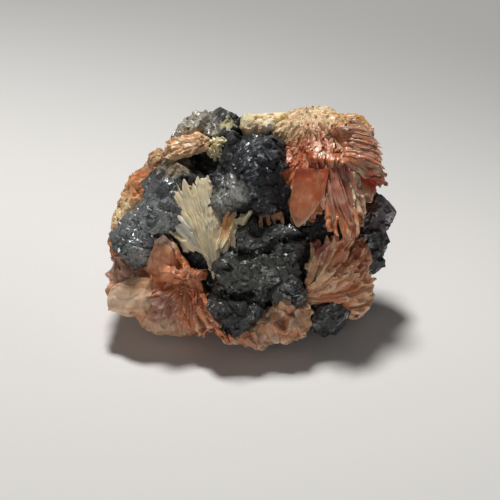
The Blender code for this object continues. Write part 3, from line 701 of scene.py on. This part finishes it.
# The lower barite fan. Wavy plates spread up and to the right from one root beside the dark ledges; their
# crests catch the light and are drawn paler as painted highlight, and the grooves between them stay brown,
# drawn darker as painted shade.
LOWER_FAN_CENTRE = np.array((14, 12, 0))
# The lower fan and the lower crust are drawn in a brighter peach: painted light for the lamp light that
# their forward-facing plates miss.
PEACH_PAINTED_LIGHT, PEACH_PALE = srgb(255, 206, 164), srgb(246, 214, 184)
LOWER_FAN_ZONES = (
    ((14, 15), 3, SALMON_DEEP),
    ((29, 24), 5, SALMON),
    ((24, 13), 3.5, SALMON),
    ((20, 27), 3, ROSE),
)
lower_fan = Growth(FRONT)
packed(lower_fan, "barite_fan_lower_right", CRYSTAL_NET, LOWER_FAN_CENTRE, length=9, width=1,
       salt=201, base=PEACH_PAINTED_LIGHT, pale=PEACH_PALE, zones=LOWER_FAN_ZONES, tilt=0.9, step=0.5)
piece = lower_fan.made("lower_barite_fan", salmon_finish, wander=0.5)
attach(piece, "root")
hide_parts("barite_fan_lower_right")

# The lower left barite cluster. A thick clear plate juts out at the left, upright orange plates
# stand behind a knotted band, and long strands spread down from it.
HONEY, HONEY_PALE = srgb(208, 162, 124), srgb(230, 198, 168)
DUSK, DUSK_PALE = srgb(186, 130, 112), srgb(218, 172, 152)
ORANGE, ORANGE_PALE = srgb(230, 134, 80), srgb(240, 172, 126)
LEFT_CLUSTER_CENTRE = np.array((-15, 19, 0))
LEFT_CLUSTER_ZONES = (
    ((-33, 14), 5, HONEY),
    ((-33, 22), 5, DUSK_PALE),
    ((-22, 10), 3.5, DUSK),
    ((-13, 13), 3, SALMON_DEEP),
    ((-22, 3), 5, HONEY_PALE),
    ((-21, 22), 4, ORANGE),
)
LEFT_CLUSTER_BLADES = (
    dict(roots=((-24.6, 18), (-25.4, 8.6)), tips=((-30, 18.6), (-35.2, 16.4), (-37.2, 13), (-36, 9.7),
                                                   (-30.6, 8.1)),
         count=1, depth=0.4, seed=36, lift=1.2, ragged=0, chisel=0, saw=0, shard=0, thick=3, share=24,
         colours=(HONEY, HONEY_PALE)),
    dict(roots=((-24.4, 21), (-19.3, 21)), tips=((-25, 24.4), (-24, 27.8), (-21.8, 29.8), (-19.6, 28),
                                                 (-19, 24.4)),
         count=1, depth=0.4, seed=37, lift=0.3, ragged=0, chisel=0, saw=0, shard=0, share=24,
         colours=(DUSK, DUSK_PALE)),
    dict(roots=((-25.4, 17), (-19, 17.6)), tips=((-26.2, 21), (-25, 25.4), (-22, 27.6), (-19.6, 25.6),
                                                 (-18.4, 21.6)),
         count=1, depth=0.4, seed=38, lift=1, ragged=0, chisel=0, saw=0.2, shard=0, share=28,
         colours=(ORANGE, ORANGE_PALE)),
    dict(roots=((-16.2, 18.6), (-14.6, 20)), tips=((-20.4, 28.2), (-19.3, 28.5)), count=2, depth=0.5,
         seed=39, lift=0.8, colours=(ORANGE, PEACH_PALE)),
)
left_cluster = Growth(FRONT)
packed(left_cluster, "barite_cluster_lower_left", CRYSTAL_NET, LEFT_CLUSTER_CENTRE, length=5,
       width=1.1, salt=301, base=SALMON, pale=PEACH_PALE, zones=LEFT_CLUSTER_ZONES)
for sheet in LEFT_CLUSTER_BLADES:
    blades(left_cluster, "barite_cluster_lower_left", **sheet)
piece = left_cluster.made("left_barite_cluster", salmon_finish, wander=0.5)
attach(piece, "root")
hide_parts("barite_cluster_lower_left")

# The barite along the lower edge. Small rounded plates, clear and beige, overlap like scales; they
# grew in a swollen crust on the galena and curl under the rock.
LOWER_CRUST_CENTRE = np.array((3, 16, -4))
LOWER_CRUST_ZONES = (
    ((3, 1), 3, DUSK_PALE),
    ((-4, 2), 4, SALMON),
    ((10, 6), 3.5, SALMON),
)
lower_crust = Growth(FRONT)
# Its bed is drawn in the brighter peach too, painted light for the lamp light its low plates miss.
lower_crust_bed = packed(lower_crust, "barite_crust_lower_edge", CRYSTAL_NET, LOWER_CRUST_CENTRE,
                         length=3, width=1.8, salt=401, base=PEACH_PAINTED_LIGHT, pale=PEACH_PALE,
                         zones=LOWER_CRUST_ZONES)
scales(lower_crust, lower_crust_bed, count=110, length=2.4, width=1.8, thick=0.35, stand=0.06, seed=411,
       colours=((ORANGE_PALE, PEACH_PALE), (HONEY, HONEY_PALE), (SALMON, PEACH)))
piece = lower_crust.made("lower_edge_barite", salmon_finish, wander=0.5)
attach(piece, "root")
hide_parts("barite_crust_lower_edge")

# The pale fan. Silky plates of lead carbonate spread upwards from one clear tip; they end in
# feathery edges, and one flat side plate is stained orange.
IVORY, IVORY_WARM, IVORY_PALE = srgb(255, 234, 196), srgb(252, 216, 168), srgb(255, 246, 228)
CLEAR_TIP_PAINTED_LIGHT, STAIN = srgb(255, 246, 230), srgb(246, 178, 116)
FINE_NET = 0.3
PALE_FAN_CENTRE = np.array((-7, 18, 4))
PALE_FAN_ZONES = (
    # The clear tip is drawn almost white, painted light that lifts it out of the shade it sits in.
    ((-7, 24), 4, CLEAR_TIP_PAINTED_LIGHT),
    ((-10, 32), 5, IVORY_WARM),
)
PALE_FAN_BLADES = (
    dict(roots=((-11.8, 29.3), (-10.7, 24)), tips=((-17.8, 36.2), (-20.7, 32.2)), count=2, depth=0.3,
         seed=51, shard=0, colours=(IVORY_PALE, IVORY_PALE)),
    dict(roots=((-9.9, 21.4), (-7.4, 22.4)),
         tips=((-19.7, 39.5), (-18.9, 43.2), (-15.9, 44.6), (-12.8, 45.4), (-9.9, 41), (-6.4, 33)),
         count=7, depth=0.25, seed=52, lift=0.5, ragged=0.1, chisel=0.1, shard=0, share=20, saw=0.6,
         colours=(IVORY, IVORY)),
    dict(roots=((-8.8, 24), (-7.1, 24.4)), tips=((-6, 35.3), (-3.9, 37.6), (-1.9, 36.6)), count=2,
         depth=0.25, seed=53, lift=0.9, shard=0, colours=(IVORY, STAIN)),
)
silk_finish = crystal_finish("pale_cerussite", IVORY_PALE, deep=(0.92, 0.84, 0.7),
                             radius=(1.0, 0.85, 0.7))
pale_fan = Growth(FRONT)
packed(pale_fan, "cerussite_fan", FINE_NET, PALE_FAN_CENTRE, length=16, width=0.6, salt=501, base=IVORY,
       pale=IVORY_PALE, zones=PALE_FAN_ZONES, rise=0.06, tilt=0.4)
for sheet in PALE_FAN_BLADES:
    blades(pale_fan, "cerussite_fan", **sheet)
piece = pale_fan.made("pale_silky_fan", silk_finish, wander=0.3)
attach(piece, "root")
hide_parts("cerussite_fan")

# The upper left barite blades. A short pale stack of barium sulphate plates grew on the knob and
# juts out over the dark hollow.
UPPER_BLADES_CENTRE = np.array((-7, 55, 0))
CREAM_PEACH = srgb(236, 194, 148)
upper_blades = Growth(FRONT)
packed(upper_blades, "barite_blades_upper_left", FINE_NET, UPPER_BLADES_CENTRE, length=5, width=0.8,
       salt=601, base=CREAM_PEACH, pale=CREAM, tilt=0.9, step=0.5)
piece = upper_blades.made("upper_left_barite_blades", salmon_finish, wander=0.5)
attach(piece, "root")
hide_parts("barite_blades_upper_left")

# The crust over the top. Cream and yellow cerussite, massive and finely granular, with white smears;
# it coats the galena between the knob and the great fan.
WHITE_SMEAR, STRAW, OLIVE_CREAM = srgb(252, 244, 224), srgb(240, 220, 150), srgb(228, 218, 176)
CRUST_NET = 0.33
CRUST_CLOUD, CRUST_GRIT, CRUST_PITS, CRUST_RELIEF = 1.8, 0.35, 0.8, 0.22
CRUST_DARK = (0.72, 0.58, 0.44)
TOP_CRUST_ZONES = (
    ((6, 57), 3.5, WHITE_SMEAR),
    ((11, 59), 3, STRAW),
    ((1, 57), 3, PEACH_PALE),
    ((-3, 61), 3, OLIVE_CREAM),
)


def crust_finish(name, speck_colour):
    """A dull weathered crust: fine grains, darker specks and small pits."""
    material, surface, start = new_finish(name, Subsurface_Weight=0.15, Subsurface_Scale=1 * MM,
                                          Subsurface_Radius=(1.0, 0.6, 0.35))
    tint = attribute(start, "tint", "Color")
    grain = attribute(start, "grain", "Vector")
    cloud = grain.noise(CRUST_CLOUD, 4.0, 0.65)
    grit = grain.noise(CRUST_GRIT, 3.0, 0.7)
    pits = grain.cells(CRUST_PITS, "Distance")
    dark = tint.mixed(CRUST_DARK, 1.0, "MULTIPLY")
    colour = tint.mixed(dark, cloud.between(0.58, 0.36) * 0.6)
    colour = colour.mixed(speck_colour, (grit + cloud * 0.3).between(0.5, 0.38) * 0.5)
    feed(surface, Base_Color=colour, Roughness=0.62 + grit * 0.25,
         Normal=(grit + cloud * 1.2 - pits * 0.4).bumped(CRUST_RELIEF))
    return material


chalk_finish = crust_finish("cream_cerussite", srgb(150, 112, 66))
top_crust = Growth(FRONT)
top_bed = bed_of(top_crust, "cerussite_crust_top", CRUST_NET, shrink=-0.2, rough=0.16, salt=701,
                 base=CREAM, zones=TOP_CRUST_ZONES)
scales(top_crust, top_bed, count=160, length=0.7, width=0.6, thick=0.25, stand=0.05, seed=711,
       colours=((CREAM, WHITE_SMEAR), (STRAW, CREAM)))
piece = top_crust.made("cream_top_crust", chalk_finish)
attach(piece, "root")
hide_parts("cerussite_crust_top")

# The yellow cerussite crystals. A few small greasy grains of lead carbonate grew in the corner
# between the upper left blades and the dome.
YELLOW, YELLOW_PALE = srgb(216, 200, 146), srgb(238, 228, 188)
yellow_finish = crystal_finish("yellow_cerussite", YELLOW_PALE, roughness=0.24)
yellow_crystals = Growth(FRONT)
yellow_bed = bed_of(yellow_crystals, "cerussite_crystals_upper_left", FINE_NET, shrink=0.1, rough=0.2,
                    salt=801, base=YELLOW)
scales(yellow_crystals, yellow_bed, count=60, length=1.5, width=1.2, thick=0.7, stand=0.35, seed=811,
       colours=((YELLOW, YELLOW_PALE),), edge_on=0.5)
piece = yellow_crystals.made("yellow_crystals", yellow_finish)
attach(piece, "root")
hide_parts("cerussite_crystals_upper_left")

# The rind down the left side. Barite weathered to ochre and rust, dull and lumpy, clings to the
# galena from the knob down to the left cluster.
RUST, RIND, RIND_DUN = srgb(204, 122, 74), srgb(226, 172, 122), srgb(190, 150, 116)
RIND_ZONES = (
    ((-27, 45), 5, RUST),
    ((-33, 33), 4, CREAM),
    ((-34, 27), 4, RUST),
    ((-24, 50), 4, RIND_DUN),
)
rind_finish = crust_finish("ochre_barite", srgb(110, 66, 34))
left_rind = Growth(FRONT)
rind_bed = bed_of(left_rind, "barite_rind_left", CRUST_NET, shrink=0, rough=0.35, salt=901, base=RIND,
                  zones=RIND_ZONES)
scales(left_rind, rind_bed, count=160, length=1.2, width=1.0, thick=0.35, stand=0.05, seed=911,
       colours=((RIND, CREAM), (RUST, RIND), (OCHRE, CREAM)))
piece = left_rind.made("ochre_rind", rind_finish)
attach(piece, "root")
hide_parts("barite_rind_left")

# The little laths. A row of narrow barite crystals with square ends hangs from the underside of the
# dome, over the dark ledges.
LATHS_NET, LATHS_CENTRE = 0.22, np.array((6, 50, 8))
laths = Growth(FRONT)
packed(laths, "barite_laths_centre", LATHS_NET, LATHS_CENTRE, length=6, width=1.2, salt=951, base=HONEY,
       pale=PINK_PALE, step=0.1)
piece = laths.made("little_laths", salmon_finish)
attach(piece, "root")
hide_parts("barite_laths_centre")

# Barite on the far side. One broad fan hangs from the top and a lower cluster sits beside it, both
# grown on the galena as in front; they have a face of their own that leans the other way.
BACK = face_frame(-1, (0, 19 * MM, 0), math.radians(20))
BACK_NET = 0.36
BACK_FAN_ZONES = (
    ((-22, 38), 8, PINK_PALE),
    ((-10, 48), 7, PEACH),
    ((-8, 22), 7, PEACH_PALE),
    ((2, 36), 4, SALMON_DEEP),
)
BACK_CLUSTER_ZONES = (
    ((24, 30), 7, PEACH),
    ((14, 9), 6, DUSK_PALE),
    ((28, 14), 6, HONEY),
    ((19, 20), 3, SALMON_DEEP),
)
for name, node, zones, centre, salt in (
        ("far_side_barite_fan", "barite_fan_back", BACK_FAN_ZONES, (2, 36, 4), 1001),
        ("far_side_barite_cluster", "barite_cluster_back", BACK_CLUSTER_ZONES, (19, 20, 2), 1101)):
    growth = Growth(BACK)
    packed(growth, node, BACK_NET, np.array(centre), length=6, width=0.7, salt=salt, base=SALMON,
           pale=PEACH_PALE, zones=zones)
    piece = growth.made(name, salmon_finish, wander=0.5)
    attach(piece, "root")
    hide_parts(node)

# The set. The floor is a sheet of pale matt paper with a faint fibre grain; it is drawn darker far off to
# the right, painted shade where the lamp's light falls off. A soft lamp hangs over the rock a little behind
# it, a weak one fills in from low in front, and the camera faces the display face.
SPAN = 500
CAMERA_PLACE, LENS = (0.5, 25.6, SPAN), 137.8
FLOOR_REACH, FADE_LENGTH, FADE_SKEW, PAPER_FIBRE = 3.0, 0.21, 0.45, 0.0006
PAPER, PAPER_PAINTED_FALLOFF = (0.81, 0.8, 0.785), (0.4, 0.4, 0.39)
LAMPS = (("lamp", (-0.04, 0.17, 0.49), 0.1, 2.55), ("fill", (-0.16, -0.5, 0.16), 0.3, 0.4))
LAMP_AIM = (0, 0, 0.02)
LAMP_COLOUR, AIR_COLOUR, AIR_STRENGTH = (1.0, 0.985, 0.96), (0.86, 0.88, 0.92, 1), 0.065
floor_mesh = bpy.data.meshes.new("floor")
corners = [(x * FLOOR_REACH, y * FLOOR_REACH, 0) for x, y in ((-1, -1), (1, -1), (1, 1), (-1, 1))]
floor_mesh.from_pydata(corners, [], [(0, 1, 2, 3)])
floor = bpy.data.objects.new("floor", floor_mesh)
bpy.context.scene.collection.objects.link(floor)
paper, surface, start = new_finish("paper", Roughness=0.85, Specular_IOR_Level=0.2)
spot = start.node("ShaderNodeTexCoord", None, None, "Object")
ahead = spot.node("ShaderNodeSeparateXYZ", None, {0: spot}, "Y")
aside = spot.node("ShaderNodeSeparateXYZ", None, {0: spot}, "X")
# Painted shade: the paper is drawn darker ahead and to the right, where the lamp's light falls off.
far = (ahead + aside * FADE_SKEW).between(0.0, FADE_LENGTH)
fibre = spot.noise(PAPER_FIBRE, 3.0, 0.6)
colour = spot.mixed(PAPER, 1.0).mixed(PAPER_PAINTED_FALLOFF, far).mixed((0.5, 0.5, 0.5), fibre.between(0.6, 0.3) * 0.06)
feed(surface, Base_Color=colour, Normal=fibre.bumped(0.03))
floor_mesh.materials.append(paper)

camera = bpy.data.objects.new("camera", bpy.data.cameras.new("camera"))
bpy.context.scene.collection.objects.link(camera)
bpy.context.scene.camera = camera
camera.matrix_world = (Matrix.Translation((FRONT @ Matrix.Translation(CAMERA_PLACE)).translation)
                       @ FRONT.to_quaternion().to_matrix().to_4x4())
camera.data.lens = LENS
camera.data.clip_start = 0.01

for name, spot, size, power in LAMPS:
    lamp = bpy.data.objects.new(name, bpy.data.lights.new(name, "AREA"))
    lamp.data.shape = "DISK"
    lamp.data.size = size
    lamp.data.energy = power
    lamp.data.color = LAMP_COLOUR
    lamp.location = spot
    lamp.rotation_mode = "QUATERNION"
    lamp.rotation_quaternion = (Vector(LAMP_AIM) - lamp.location).to_track_quat("-Z", "Y")
    lamp.visible_camera = False
    bpy.context.scene.collection.objects.link(lamp)

world = bpy.data.worlds.new("room")
bpy.context.scene.world = world
world.use_nodes = True
world.node_tree.nodes["Background"].inputs["Color"].default_value = AIR_COLOUR
world.node_tree.nodes["Background"].inputs["Strength"].default_value = AIR_STRENGTH
bpy.context.scene.view_settings.view_transform = "Standard"
